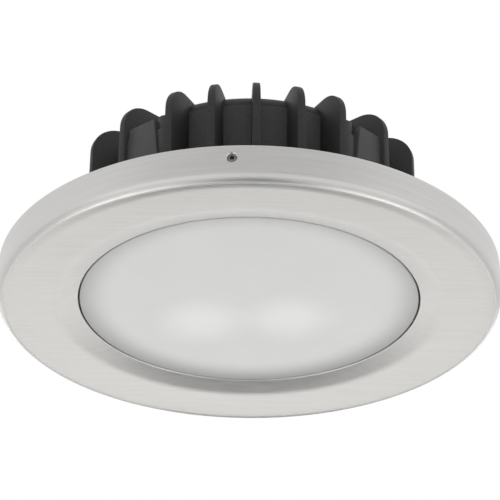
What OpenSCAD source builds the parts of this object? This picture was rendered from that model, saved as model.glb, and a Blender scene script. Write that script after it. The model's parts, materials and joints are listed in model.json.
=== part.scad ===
// Recessed soffit downlight: a stainless cover ring over a finned, die-cast lamp body.
// The origin is the centre of the soffit plane, +Z points up into the soffit and
// the light leaves towards -Z. Azimuth 0 is -Y and grows towards +X.

/* [Cover ring] */
// Outside diameter of the stainless cover ring
cover_d = 150; // [146:1:170]
// Height of the straight side wall below the soffit
cover_side_h = 8.4; // [7.8:0.1:11]
// Width of the cover ring from its rim to the opal face
border_w = 24.6; // [23.5:0.1:27]
// Thickness of the stainless sheet
cover_t = 1.6; // [1.2:0.1:1.8]
// Outside radius of the corner bead
bead_r = 3.5; // [3:0.1:4.5]
// Radius of the bead's rolled nose
nose_r = 0.6; // [0.5:0.1:1]
// Radial width of the hollow flank inside the bead
flank_w = 3.6; // [3:0.1:6]
// Depth of the hollow flank
flank_h = 0.4; // [0.3:0.1:1]
// Radial width of the bevel round the opening
bevel_w = 6.6; // [4:0.1:7.5]
// Slope of the bevel in degrees
bevel_angle = 16; // [10:0.5:18]
// Rounding of the opening's lip
lip_r = 0.5; // [0.2:0.1:0.6]

/* [Grub screws] */
// Number of grub screws that lock the cover
grub_n = 3; // [2:1:4]
// Azimuth of the first grub screw
grub_az = -5.7; // [-12:0.1:12]
// Thread diameter of a grub screw
grub_d = 2.5; // [2:0.5:3]
// Hexagon socket across flats
grub_socket_af = 1.3; // [0.9:0.1:1.5]
// Depth of the hexagon socket
grub_socket_h = 1.6; // [1:0.1:2]
// Chamfer round a grub screw's hole in the cover
grub_chamfer = 0.35; // [0.2:0.05:0.5]
// Height of the grub screws below the soffit
grub_drop = 3.9; // [3.7:0.1:4.2]
// Outside diameter of a weld nut behind the cover's wall
weld_nut_d = 5.6; // [4.6:0.1:6.4]
// Length of a weld nut
weld_nut_h = 1.8; // [1:0.1:2]

/* [Diffuser] */
// Thickness of the opal moulding
diffuser_t = 2; // [1.5:0.1:2.6]
// Depth of the opal edge below the soffit
diffuser_edge_drop = 8.6; // [8.2:0.1:9.5]
// Crown of the opal face
crown_h = 1.3; // [0.5:0.1:1.8]
// Width of the diffuser's hidden flange
diffuser_flange_w = 3.3; // [2.5:0.1:3.6]
// Thickness of the diffuser gasket
diffuser_gasket_t = 1; // [0.8:0.1:1.4]

/* [Retaining ring] */
// Thickness of the retaining ring
retainer_t = 2; // [1.8:0.1:2.2]
// Distance of a retaining ring screw's axis from the diffuser's pocket and from the ring's edge
retainer_screw_inset = 2.1; // [2:0.1:2.4]
// Number of retaining ring screws
retainer_screw_n = 6; // [4:1:8]
// Thread diameter of the retaining ring screws
retainer_screw_d = 2; // [1.6:0.1:2]
// Depth to which a retaining ring screw bites into its thread
retainer_screw_bite = 2.2; // [1.6:0.1:2.4]

/* [Mounting ring] */
// Space between the cover's wall and the mounting ring's rim
rim_gap = 2.9; // [2.4:0.1:3.4]
// Drop of the mounting ring's top face below the soffit
ring_drop = 0.6; // [0.4:0.1:0.8]
// Thickness of the mounting ring's flange
ring_t = 3.8; // [3.6:0.1:4]
// Height of the outer rim that the grub screws bear on
rim_h = 6.2; // [5.6:0.1:6.6]
// Width of the outer rim
rim_w = 3.5; // [2.5:0.1:4]
// Width of the hub that passes into the soffit, beyond the opal face
hub_w = 3.3; // [2.8:0.1:3.8]
// Width of the screw ledge inside the hub
ledge_w = 10; // [9.6:0.1:10.4]
// Thickness of the screw ledge
ledge_t = 2.4; // [2.2:0.1:2.8]
// Distance of the soffit gasket from the hub
soffit_gasket_gap = 4.8; // [4:0.1:5.2]
// Distance of the soffit gasket from the mounting ring's edge
soffit_gasket_inset = 4; // [3.6:0.1:4.6]
// Thickness of the soffit gasket
soffit_gasket_t = 1.6; // [1.4:0.1:1.8]
// Depth of the soffit gasket's seat
soffit_gasket_seat = 1; // [0.8:0.1:1.2]
// Number of soffit fixing holes
fix_n = 4; // [3:1:6]
// Diameter of a soffit fixing hole
fix_d = 4.5; // [4:0.1:5]
// Azimuth of the first soffit fixing hole
fix_az = 45; // [35:1:50]

/* [Heat sink] */
// Distance of the fin tips inside the hub's edge
fin_inset = 1.1; // [0.5:0.1:2]
// Height of the heat sink's top above the soffit
sink_h = 39.8; // [38:0.2:46]
// Diameter of the drum that carries the fins
drum_d = 84; // [82:0.5:88]
// Radius of the drum's top shoulder
shoulder_r = 5.6; // [4:0.1:5.6]
// Radius of the fins' top corners
fin_corner_r = 9; // [6:0.2:11]
// Thickness of a fin at the soffit plane
fin_root_t = 3.1; // [2.8:0.1:3.6]
// Thickness of a fin at its top
fin_tip_t = 2.1; // [1.6:0.1:2.6]
// Angle between the front fins
fin_pitch = 14.4; // [14:0.1:15]
// Angle between the fins beside a clip lug
fin_wide_pitch = 18.8; // [18:0.1:19.2]
// Azimuth of the short side fins
side_fin_az = 82.2; // [81:0.1:83]
// Distance of the short side fins' ends inside the hub's edge
side_fin_inset = 6.2; // [5:0.1:8]
// Height of the base skirt's underside above the soffit
base_z = 1; // [0.8:0.1:1.4]
// Height of the base skirt's top above the soffit
skirt_z = 13; // [12:0.5:14]
// Step from the screw ledge to the light engine's recess
recess_step = 0.5; // [0.3:0.1:0.8]
// Depth of the light engine's recess
recess_h = 8.4; // [8:0.1:9]
// Thickness of the floor between the light engine and the driver
floor_t = 6; // [5:0.1:7]

/* [Lugs and screw pillars] */
// Azimuth of the left lug
lug_left_az = -40.4; // [-42:0.1:-39]
// Azimuth of the right lug
lug_right_az = 42; // [40:0.1:43]
// Distance of a lug's flat face inside the hub's edge
lug_inset = 2.7; // [2:0.1:4]
// Height of a lug's top above the soffit
lug_z = 29.2; // [26:0.2:34]
// Width of a lug at its top
lug_w = 9.5; // [8:0.1:10]
// Side draft of a lug in degrees
lug_draft = 7; // [3:0.5:8]
// Azimuth of the screw pillars beside the fins
pillar_az = 33.6; // [33:0.1:34.4]
// Distance of a pillar's axis inside the hub's edge
pillar_inset = 6.7; // [6.4:0.1:7]
// Diameter of a pillar's upper step
pillar_top_d = 5; // [4.6:0.1:5.4]
// Diameter of a pillar's lower step
pillar_base_d = 6.6; // [6:0.1:7.2]
// Height of a pillar above the soffit
pillar_z = 31; // [28:0.5:34]
// Height of a pillar's step above the soffit
pillar_step_z = 26; // [22:0.5:27]

/* [Light engine] */
// Space round the LED board in its recess
board_gap = 0.5; // [0.3:0.1:0.8]
// Thickness of the aluminium-core LED board
board_t = 1.6; // [1.2:0.1:2]
// Thickness of the thermal pad
pad_t = 0.4; // [0.3:0.1:0.6]
// Width of one LED package
led_w = 3; // [2.4:0.1:3.4]
// Height of one LED package
led_h = 0.7; // [0.5:0.1:0.9]
// Radius of the first ring of LEDs
led_ring_r = 12; // [11:0.5:13]
// Distance of the outer ring of LEDs from the reflector
led_margin = 7.3; // [6:0.1:9]
// Number of screws that hold the LED board
board_screw_n = 3; // [3:3:6]
// Thickness of the reflector's wall
reflector_t = 1.2; // [1:0.1:1.4]
// Flare of the reflector's wall from the board to the diffuser
reflector_flare = 1.2; // [0.5:0.1:1.4]
// Distance of the reflector's flange inside the opal face's edge
reflector_inset = 0.2; // [0.1:0.1:1]
// Width of the connector on the LED board
connector_w = 9; // [8:0.5:10]
// Height of the connector on the LED board
connector_h = 4; // [3:0.1:5]

/* [Leads and grommet] */
// Diameter of one insulated lead
lead_d = 1.6; // [1.2:0.1:1.8]
// Distance between the two leads
lead_gap = 3.2; // [2.8:0.1:3.4]
// Bore of the grommet
grommet_bore = 5.8; // [5.6:0.1:6]
// Diameter of the grommet's neck
grommet_d = 8; // [7.6:0.1:8.4]
// Diameter of the grommet's flange
grommet_flange_d = 11; // [10:0.1:12]
// Thickness of the grommet's flange
grommet_flange_t = 1; // [0.8:0.1:1.2]

/* [Driver] */
// Space between the driver board's corners and the chamber's wall
driver_gap = 1.7; // [1:0.1:3]
// Thickness of the driver board
driver_t = 1.6; // [1.2:0.1:2]
// Height of the driver's standoffs
standoff_h = 5; // [4.5:0.1:6]
// Diameter of a standoff
standoff_d = 5.4; // [5:0.1:6]
// Distance of a standoff from the driver board's edges
standoff_inset = 3.5; // [3.2:0.1:4]
// Outside diameter of the choke
choke_d = 15; // [13:0.5:16]
// Height of the choke
choke_h = 6; // [5:0.5:7]
// Diameter of a capacitor
cap_d = 7; // [6:0.5:7.5]
// Space between the capacitors and the gland's locknut
cap_gap = 2.2; // [1:0.1:4]
// Width of the supply terminal block
supply_terminal_w = 14; // [12:0.5:15]
// Depth of the supply terminal block
supply_terminal_l = 8; // [7:0.5:9]
// Height of the supply terminal block
supply_terminal_h = 8; // [7:0.5:9]
// Width of the output terminal block under the board
output_terminal_w = 10; // [8:0.5:12]
// Depth of the output terminal block
output_terminal_l = 6; // [5:0.5:8]
// Height of the output terminal block
output_terminal_h = 4; // [3:0.1:4.2]
// Side of one chip on the driver board
chip_w = 4; // [3:0.1:4.5]
// Height of one chip
chip_h = 1.6; // [1:0.1:2]
// Space between neighbouring parts on the driver board
driver_part_gap = 1; // [0.5:0.1:1.2]

/* [Rear cover and gland] */
// Distance of the rear cover's seat from the drum's shoulder
rear_margin = 0.1; // [0.1:0.1:1]
// Width of the ledge that the rear cover lies on
rear_ledge_w = 6; // [5.6:0.1:6.4]
// Thickness of the rear cover
rear_t = 3; // [2.6:0.1:3.6]
// Width of the rear gasket
rear_gasket_w = 1.5; // [1.2:0.1:1.5]
// Thickness of the rear gasket
rear_gasket_t = 1; // [0.8:0.1:1.4]
// Number of rear cover screws
rear_screw_n = 4; // [4:1:6]
// Distance of a rear cover screw's axis from the cover's edge
rear_screw_inset = 2.7; // [2.6:0.1:2.8]
// Thread diameter of the cable gland
gland_d = 12; // [11:0.5:14]
// Length of the gland's thread
gland_thread_h = 8; // [7:0.5:9]
// Height of the gland's hexagon
gland_hex_h = 4; // [3:0.5:5]
// Hexagon across flats
gland_hex_af = 15; // [14.5:0.1:16]
// Height of the gland's dome nut
gland_cap_h = 9; // [8:0.5:10]
// Diameter of the supply cable that the gland holds
cable_d = 6.4; // [5:0.1:6.6]
// Thickness of the gland's sealing ring
gland_ring_t = 1; // [0.8:0.1:1.4]

/* [Screws] */
// Thread diameter of the board, body and driver screws
screw_d = 3; // [2.5:0.1:3]
// Thread diameter of the rear cover screws
small_screw_d = 2.5; // [2:0.1:2.5]
// Depth to which a screw bites into its thread
screw_bite = 5; // [4:0.5:5]

/* [Fits] */
// Gap between the cover's lip and the diffuser
lip_gap = 0.6; // [0.4:0.1:0.8]
// Clearance round an inner piece in its seat
seat_clear = 0.3; // [0.2:0.05:0.35]
// Radial clearance of a screw in its hole
thread_clear = 0.05; // [0.03:0.01:0.08]

/* [Hidden] */

$fn = 96;
small_fn = 32;
cut = 1;                    // how far a cutting tool runs past the face that it opens
arc_steps = 8;

black = [0.09, 0.09, 0.095];
steel = [0.78, 0.77, 0.75];
bare_aluminium = [0.7, 0.71, 0.72];
opal = [0.93, 0.93, 0.92];
phosphor = [0.95, 0.85, 0.35];
pad_grey = [0.75, 0.78, 0.82];
sleeve_blue = [0.15, 0.2, 0.35];
white = [0.95, 0.95, 0.94];
brass_tone = [0.8, 0.66, 0.35];
board_green = [0.1, 0.35, 0.2];
seal_grey = [0.2, 0.2, 0.21];

// Cover ring, from the side wall inwards
cover_r = cover_d / 2;
bead_centre = [cover_r - bead_r, -cover_side_h];
bead_turn = 50;
nose_turn = 150;
nose_start = 65;            // where the nose's drawn arc leaves the bead
bead_inner_turn = 45;       // how far the sheet's inner corner turns
nose_centre = bead_centre + (bead_r - nose_r) * [cos(bead_turn), -sin(bead_turn)];
crease = nose_centre + nose_r * [cos(nose_turn), -sin(nose_turn)];
face_z = crease[1] + flank_h;
flank_in_r = crease[0] - flank_w;
flank_arc_r = (flank_w * flank_w + flank_h * flank_h) / (2 * flank_h);
flank_arc_turn = asin(flank_w / flank_arc_r);
diffuser_r = cover_r - border_w;
opening_r = diffuser_r + lip_gap;
bevel_out_r = opening_r + bevel_w;
bevel_in_r = opening_r + lip_r * (1 - sin(bevel_angle));
lip_z = face_z + (bevel_out_r - bevel_in_r) * tan(bevel_angle);
lip_centre = [opening_r + lip_r, lip_z + lip_r * cos(bevel_angle)];
bevel_soft = 1.6;           // length of the soft crease on each side of the bevel's outer edge
bevel_soft_r = bevel_soft / tan(bevel_angle / 2);
cover_in_r = cover_r - cover_t;
grub_sink = 0.3;            // depth of a grub screw's head in its hole
grub_edge = 0.2;            // chamfer on a grub screw's driven end
// A weld nut's flat end meets the round wall at the two sides of the nut
weld_nut_seat = cover_r - sqrt(cover_in_r * cover_in_r - weld_nut_d * weld_nut_d / 4);

// Mounting ring and what lies on it
ring_r = cover_in_r - rim_gap;
rim_in_r = ring_r - rim_w;
hub_r = diffuser_r + hub_w;
ledge_bore_r = hub_r - ledge_w;
soffit_gasket_in_r = hub_r + soffit_gasket_gap;
soffit_gasket_out_r = ring_r - soffit_gasket_inset;
fix_r = (soffit_gasket_in_r + soffit_gasket_out_r) / 2;
retainer_screw_az = 15;
hole_past_tip = 0.2;        // a threaded hole in the mounting ring runs this far past its screw
body_screw_lead = 2;        // plain part of a body screw before its thread bites
tip_gap = 1;                // a threaded hole in the casting runs this far past its screw
ring_top = -ring_drop;
ring_bottom = ring_top - ring_t;
gasket_seat_z = ring_top - soffit_gasket_seat;
ledge_bottom = base_z - ledge_t;
flange_r = diffuser_r + diffuser_flange_w;
flange_top = ledge_bottom - diffuser_gasket_t;
pocket_r = flange_r + seat_clear;
retainer_bottom = ring_bottom - retainer_t;
retainer_screw_r = pocket_r + retainer_screw_inset;
retainer_r = retainer_screw_r + retainer_screw_inset;
body_seal_w = 1.8;
body_seal_h = 1.2;
body_seal_margin = 1.35;    // land outside the body seal's groove, under the skirt
body_seal_out_r = hub_r - seat_clear - body_seal_margin;
body_seal_in_r = body_seal_out_r - body_seal_w;

// Heat sink, from the hub inwards and from the base up
tip_r = hub_r - fin_inset;
lug_reach = hub_r - lug_inset;
side_fin_reach = hub_r - side_fin_inset;
pillar_r = hub_r - pillar_inset;
drum_r = drum_d / 2;
recess_r = ledge_bore_r - recess_step;
rear_r = drum_r - shoulder_r - seat_clear - rear_margin;
rear_screw_r = rear_r - rear_screw_inset;
rear_screw_az = 45;
chamber_r = rear_r - rear_ledge_w;
recess_top = base_z + recess_h;
floor_top = recess_top + floor_t;
rear_seat = sink_h - rear_t;
rear_gasket_bottom = rear_seat - rear_gasket_t;
fin_root_r = drum_r - shoulder_r;
fin_angles = [for (k = [-2:2]) k * fin_pitch];
wide_angles = [for (s = [-1, 1], k = [1, 2]) s * (2 * fin_pitch + k * fin_wide_pitch)];
side_angles = [-side_fin_az, side_fin_az];
half_turns = [0, 180];
pillar_angles = [for (turn = half_turns, s = [-1, 1]) turn + s * pillar_az];
lug_angles = [for (turn = half_turns, a = [lug_left_az, lug_right_az]) turn + a];

// Light engine
board_r = recess_r - board_gap;
reflector_in_r = board_r - reflector_flare - reflector_t;
reflector_flange_r = diffuser_r - reflector_inset;
led_rings = 3;
led_ring_pitch = (reflector_in_r - led_ring_r - led_margin) / (led_rings - 1);
board_screw_r = led_ring_r + (led_rings - 1.5) * led_ring_pitch;
pad_bottom = recess_top - pad_t;
board_bottom = pad_bottom - board_t;
board_screw_az = 30;
board_bore_skin = 0.6;      // metal left above a board screw's hole

// Driver
driver_w = (chamber_r - driver_gap) * sqrt(2);
driver_half = driver_w / 2;
standoff_pitch = driver_w - 2 * standoff_inset;
driver_bottom = floor_top + standoff_h;
driver_top = driver_bottom + driver_t;
locknut_h = 2.6;
output_terminal = [output_terminal_w, output_terminal_l, output_terminal_h];
supply_terminal = [supply_terminal_w, supply_terminal_l, supply_terminal_h];
lead_top = driver_bottom - output_terminal_h;
choke_r = choke_d / 2;
choke_margin = [4, 4.5];    // from the board's left and rear edges
choke_at = [choke_margin[0] + choke_r - driver_half, driver_half - choke_margin[1] - choke_r];
cap_margin = [7.5, 5.5];    // from the board's right and rear edges
cap_x = driver_half - cap_margin[0] - cap_d / 2;
cap_y = driver_half - cap_margin[1] - cap_d / 2;
cap_pitch = cap_d + 2 * driver_part_gap;
cap_top = sink_h - rear_t - locknut_h - cap_gap;

// Gland
gland_ring_top = sink_h + gland_ring_t;
gland_hex_top = gland_ring_top + gland_hex_h;
gland_cap_top = gland_hex_top + gland_cap_h;
gland_collar_h = 5;
gland_seal_t = 1.5;
gland_seal_seat = 1;        // depth of the seal's seat in the hexagon
gland_seal_crown = 0.8;     // height of the seal above the collar
gland_bore_gap = 0.6;       // space round the cable in the gland's body
gland_mouth_gap = 0.7;      // space round the cable in the dome nut
gland_collar_step = 0.4;    // the collar is wider than the thread by this much
gland_cap_step = 0.9;       // the dome nut is wider than the hexagon by this much
gland_dome_r = 3;
grip_n = 12;
grip_r = 0.9;
grip_out = 0.5;             // a grip groove's axis lies this far outside the dome nut
gland_seal_r = cable_d / 2 + gland_seal_t;
gland_bore_r = cable_d / 2 + gland_bore_gap;
gland_collar_r = gland_d / 2 + gland_collar_step;
gland_cap_r = gland_hex_af / 2 + gland_cap_step;
gland_cap_hole_r = cable_d / 2 + gland_mouth_gap;
gland_seal_bottom = gland_hex_top - gland_seal_seat;
gland_seal_top = gland_hex_top + gland_collar_h + gland_seal_crown;

// Screw forms as shares of the thread's diameter
head_ratio = 0.92;          // radius of the head
socket_ratio = 0.32;        // radius of the socket over its corners
socket_depth_ratio = 0.35;
sunk_edge_ratio = 0.08;     // straight edge of a countersunk head
sunk_depth_ratio = 0.5;
pan_height_ratio = 0.6;

function arc(centre, r, from, to, steps = arc_steps) =
  [for (i = [0:steps])
    let (turn = from + (to - from) * i / steps)
      centre + r * [cos(turn), sin(turn)]];

// Turns a piece made at azimuth 0, on the -Y side, to the azimuth az
module at_azimuth(az) {
  rotate([0, 0, az]) children();
}

// A ring between two radii and two heights
module ring(r_in, r_out, z_low, z_high) {
  translate([0, 0, z_low])
    difference() {
      cylinder(r = r_out, h = z_high - z_low);
      translate([0, 0, -cut]) cylinder(r = r_in, h = z_high - z_low + 2 * cut);
    }
}

module disc(r, z_low, z_high) {
  translate([0, 0, z_low]) cylinder(r = r, h = z_high - z_low);
}

// Holes or shanks of one radius on a circle, first at azimuth az
module round_pattern(n, pitch_r, az, r, z_low, z_high) {
  for (i = [0:n - 1])
    at_azimuth(az + i * 360 / n)
      translate([0, -pitch_r, z_low]) cylinder(r = r, h = z_high - z_low, $fn = small_fn);
}

// A countersunk screw, head flush at the origin and pointing along +Z
module countersunk_screw(d, length) {
  head_r = d * head_ratio;
  socket_r = d * socket_ratio;
  difference() {
    rotate_extrude($fn = small_fn)
      polygon([[0, 0], [head_r, 0], [head_r, d * sunk_edge_ratio], [d / 2, d * sunk_depth_ratio],
               [d / 2, length], [0, length]]);
    translate([0, 0, -cut]) cylinder(r = socket_r, h = cut + d * socket_depth_ratio, $fn = 6);
  }
}

// The space that a countersunk screw needs
module countersunk_hole(d, length) {
  head_r = d * head_ratio + thread_clear;
  shank_r = d / 2 + thread_clear;
  rotate_extrude($fn = small_fn)
    polygon([[0, -cut], [head_r, -cut], [head_r, d * sunk_edge_ratio],
             [shank_r, d * sunk_depth_ratio + thread_clear], [shank_r, length], [0, length]]);
}

// A pan-head screw, head's underside at the origin and shank along +Z
module pan_screw(d, length) {
  head_r = d * head_ratio;
  head_h = d * pan_height_ratio;
  socket_r = d * socket_ratio;
  difference() {
    rotate_extrude($fn = small_fn)
      polygon([[0, -head_h], [head_r * 0.8, -head_h], [head_r, -head_h * 0.6], [head_r, 0], [d / 2, 0],
               [d / 2, length], [0, length]]);
    translate([0, 0, -head_h - cut]) cylinder(r = socket_r, h = cut + d * socket_depth_ratio, $fn = 6);
  }
}

function cover_outline() = concat(
  [[cover_r, 0]],
  arc(bead_centre, bead_r, 0, -bead_turn),
  arc(nose_centre, nose_r, -nose_start, -nose_turn, 4),
  arc([flank_in_r, face_z - flank_arc_r], flank_arc_r, 90 - flank_arc_turn, 90, 6),
  arc([bevel_out_r + bevel_soft, face_z + bevel_soft_r], bevel_soft_r, -90, -90 - bevel_angle, 4),
  arc(lip_centre, lip_r, -90 - bevel_angle, -180, 4),
  [[opening_r, lip_z + cover_t]],
  [[bevel_out_r, face_z + cover_t]],
  [[flank_in_r, face_z + cover_t]],
  arc(bead_centre, bead_r - cover_t, -bead_inner_turn, 0, 5),
  [[cover_in_r, 0]]
);

module trim_cover() {
  color(steel)
    difference() {
      rotate_extrude() polygon(cover_outline());
      grub_pattern() {
        grub_bore(cover_t + cut);
        rotate([0, 90, 0]) translate([0, 0, -grub_chamfer]) chamfer_cone(grub_chamfer + grub_sink);
      }
    }
}

// A 45 degree cone that opens a grub screw's hole towards +Z
module chamfer_cone(h) {
  r = grub_d / 2 + thread_clear;
  cylinder(r1 = r, r2 = r + h, h = h, $fn = small_fn);
}

// Places a piece made along +X at every grub screw, with the origin on the cover's surface
module grub_pattern() {
  for (i = [0:grub_n - 1]) at_grub(i) children();
}

module at_grub(i) {
  rotate([0, 0, grub_az - 90 + i * 360 / grub_n])
    translate([cover_r, 0, -grub_drop]) children();
}

module grub_bore(depth) {
  translate([-depth, 0, 0]) rotate([0, 90, 0])
    cylinder(r = grub_d / 2 + thread_clear, h = depth + cut, $fn = small_fn);
}

module weld_nuts() {
  color(steel)
    grub_pattern()
      difference() {
        translate([-weld_nut_seat - weld_nut_h, 0, 0]) rotate([0, 90, 0])
          cylinder(d = weld_nut_d, h = weld_nut_h, $fn = small_fn);
        grub_bore(cover_t + weld_nut_h + cut);
      }
}

// The screw's tip stops a seat clearance short of the mounting ring's rim
grub_len = cover_r - grub_sink - ring_r - seat_clear;

module grub_screw(i) {
  color(steel)
    at_grub(i)
      difference() {
        translate([-grub_sink - grub_len, 0, 0]) rotate([0, 90, 0])
          rotate_extrude($fn = small_fn)
            polygon([[0, 0], [grub_d * 0.3, 0], [grub_d / 2, grub_d * 0.2],
                     [grub_d / 2, grub_len - grub_edge], [grub_d / 2 - grub_edge, grub_len], [0, grub_len]]);
        translate([-grub_sink - grub_socket_h, 0, 0]) rotate([0, 90, 0])
          cylinder(d = grub_socket_af / cos(30), h = grub_socket_h + cut, $fn = 6);
      }
}

module grub_screw_front() { grub_screw(0); }
module grub_screw_right() { grub_screw(1); }
module grub_screw_left() { grub_screw(2); }

// Body screws rise through the ledge into the heat sink's pillars
module body_screw_places() {
  for (a = pillar_angles) at_azimuth(a) translate([0, -pillar_r, ledge_bottom]) children();
}

body_screw_len = ledge_t + screw_bite + body_screw_lead;
retainer_screw_len = retainer_t + retainer_screw_bite;

module retainer_screw_places() {
  for (i = [0:retainer_screw_n - 1])
    at_azimuth(retainer_screw_az + i * 360 / retainer_screw_n)
      translate([0, -retainer_screw_r, retainer_bottom]) children();
}

module mounting_ring() {
  color(bare_aluminium)
    difference() {
      rotate_extrude()
        polygon([[ledge_bore_r, ledge_bottom], [pocket_r, ledge_bottom], [pocket_r, ring_bottom],
                 [rim_in_r, ring_bottom], [rim_in_r, ring_top - rim_h], [ring_r, ring_top - rim_h],
                 [ring_r, ring_top], [soffit_gasket_out_r, ring_top], [soffit_gasket_out_r, gasket_seat_z],
                 [soffit_gasket_in_r, gasket_seat_z], [soffit_gasket_in_r, ring_top],
                 [hub_r, ring_top], [hub_r, base_z], [ledge_bore_r, base_z]]);
      ring(body_seal_in_r, body_seal_out_r, base_z - body_seal_h, base_z + cut);
      body_screw_places() countersunk_hole(screw_d, ledge_t + cut);
      retainer_screw_places() countersunk_hole(retainer_screw_d, retainer_screw_len + hole_past_tip);
      round_pattern(fix_n, fix_r, fix_az, fix_d / 2, ring_bottom - cut, cut);
    }
}

module soffit_gasket() {
  color(seal_grey)
    difference() {
      ring(soffit_gasket_in_r, soffit_gasket_out_r, gasket_seat_z, gasket_seat_z + soffit_gasket_t);
      round_pattern(fix_n, fix_r, fix_az, fix_d / 2, gasket_seat_z - cut, soffit_gasket_t + cut);
    }
}

module body_seal() {
  color(seal_grey)
    ring(body_seal_in_r, body_seal_out_r, base_z - body_seal_h, base_z);
}

module body_screws() {
  color(steel) body_screw_places() countersunk_screw(screw_d, body_screw_len);
}

// The opal face is nearly flat in the middle and rolls up towards its edge
function crown_z(r) = -diffuser_edge_drop - crown_h * (1 - pow(r / diffuser_r, 4));

module diffuser() {
  edge_r = 0.6;
  face_r = diffuser_r - edge_r;
  wall_r = diffuser_r - diffuser_t;
  steps = 10;
  color(opal)
    rotate_extrude()
      polygon(concat(
        [for (i = [0:steps]) [face_r * i / steps, crown_z(face_r * i / steps)]],
        arc([face_r, crown_z(face_r) + edge_r], edge_r, -60, 0, 3),
        [[diffuser_r, ring_bottom], [flange_r, ring_bottom], [flange_r, flange_top], [wall_r, flange_top]],
        [for (i = [steps - 1:-1:0])
          let (r = wall_r * i / (steps - 1))
            [r, crown_z(r) + diffuser_t]]));
}

module diffuser_gasket() {
  color(seal_grey) ring(reflector_flange_r + seat_clear, flange_r, flange_top, ledge_bottom);
}

module retaining_ring() {
  color(black)
    difference() {
      ring(diffuser_r + seat_clear, retainer_r, retainer_bottom, ring_bottom);
      retainer_screw_places() countersunk_hole(retainer_screw_d, retainer_t + cut);
    }
}

module retaining_screws() {
  color(steel) retainer_screw_places() countersunk_screw(retainer_screw_d, retainer_screw_len);
}

// One fin: a wedge with draft, at azimuth 0
module fin_wedge(reach) {
  rotate([90, 0, 0])
    linear_extrude(reach)
      polygon([[-fin_root_t / 2, 0], [fin_root_t / 2, 0], [fin_tip_t / 2, sink_h], [-fin_tip_t / 2, sink_h]]);
}

module lug(az) {
  foot_w = lug_w + 2 * (lug_z - base_z) * tan(lug_draft);
  at_azimuth(az)
    rotate([90, 0, 0])
      linear_extrude(lug_reach)
        polygon([[-foot_w / 2, base_z], [foot_w / 2, base_z], [lug_w / 2, lug_z], [-lug_w / 2, lug_z]]);
}

module pillar(az) {
  at_azimuth(az) translate([0, -pillar_r, 0]) {
    disc(pillar_base_d / 2, base_z, pillar_step_z);
    disc(pillar_top_d / 2, base_z, pillar_z);
  }
}

// The outer form of the fins, with their round top corners
module fin_envelope() {
  rotate_extrude()
    polygon(concat(
      [[fin_root_r, base_z], [tip_r, base_z]],
      arc([tip_r - fin_corner_r, sink_h - fin_corner_r], fin_corner_r, 0, 90, 10),
      [[fin_root_r, sink_h]]));
}

module fins() {
  intersection() {
    fin_envelope();
    union() {
      for (turn = half_turns, a = concat(fin_angles, wide_angles))
        at_azimuth(turn + a) fin_wedge(tip_r + cut);
      intersection() {
        for (turn = half_turns, a = side_angles)
          at_azimuth(turn + a) fin_wedge(tip_r + cut);
        translate([-side_fin_reach, -tip_r, 0]) cube([2 * side_fin_reach, 2 * tip_r, sink_h + cut]);
      }
    }
  }
}

module drum() {
  skirt_r = hub_r - seat_clear;
  skirt_chamfer = 1;
  rotate_extrude()
    polygon(concat(
      [[0, base_z], [skirt_r, base_z], [skirt_r, skirt_z - skirt_chamfer],
       [skirt_r - skirt_chamfer, skirt_z], [drum_r, skirt_z]],
      arc([drum_r - shoulder_r, sink_h - shoulder_r], shoulder_r, 0, 90),
      [[0, sink_h]]));
}

module standoff_places() {
  for (x = [-1, 1], y = [-1, 1]) translate([x, y, 0] * standoff_pitch / 2) children();
}

module rear_screw_places() {
  for (i = [0:rear_screw_n - 1])
    at_azimuth(rear_screw_az + i * 360 / rear_screw_n) translate([0, -rear_screw_r, sink_h])
      mirror([0, 0, 1]) children();
}

rear_screw_len = rear_t + screw_bite;
board_screw_len = board_t + pad_t + floor_t - tip_gap;

// The casting's drum, lugs and pillars without its bores
module core() {
  drum();
  for (a = lug_angles) lug(a);
  for (a = pillar_angles) pillar(a);
}

module heat_sink() {
  color(black)
    difference() {
      core();
      disc(recess_r, base_z - cut, recess_top);
      difference() {
        disc(chamber_r, floor_top, rear_seat + cut);
        standoff_places() disc(standoff_d / 2, floor_top - cut, driver_bottom);
      }
      ring(chamber_r - cut, chamber_r + rear_gasket_w + seat_clear, rear_gasket_bottom, rear_seat + cut);
      disc(rear_r + seat_clear, rear_seat, sink_h + cut);
      disc(grommet_d / 2 + thread_clear, recess_top - cut, floor_top + cut);
      body_screw_places() disc(screw_d / 2 + thread_clear, 0, body_screw_len + tip_gap);
      rear_screw_places() disc(small_screw_d / 2 + thread_clear, 0, rear_screw_len + tip_gap);
      standoff_places() disc(screw_d / 2 + thread_clear, floor_top - floor_t / 3, driver_bottom + cut);
      board_screw_bores(recess_top - cut, floor_top - board_bore_skin);
    }
}

module cooling_fins() {
  color(black)
    difference() {
      fins();
      core();
    }
}

module board_screw_bores(z_low, z_high) {
  round_pattern(board_screw_n, board_screw_r, board_screw_az, screw_d / 2 + thread_clear, z_low, z_high);
}

module thermal_pad() {
  color(pad_grey)
    difference() {
      disc(board_r, pad_bottom, recess_top);
      disc(grommet_d / 2, pad_bottom - cut, recess_top + cut);
      board_screw_bores(pad_bottom - cut, recess_top + cut);
    }
}

module led_board() {
  color(white)
    difference() {
      disc(board_r, board_bottom, pad_bottom);
      disc(grommet_bore / 2, board_bottom - cut, pad_bottom + cut);
      board_screw_bores(board_bottom - cut, pad_bottom + cut);
    }
}

module led_packages() {
  color(phosphor)
    for (k = [0:led_rings - 1], i = [0:6 * (k + 1) - 1])
      at_azimuth((i + (k == 1 ? 0.5 : 0)) * 60 / (k + 1))
        translate([-led_w / 2, -led_ring_r - k * led_ring_pitch - led_w / 2, board_bottom - led_h])
          cube([led_w, led_w, led_h]);
}

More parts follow.
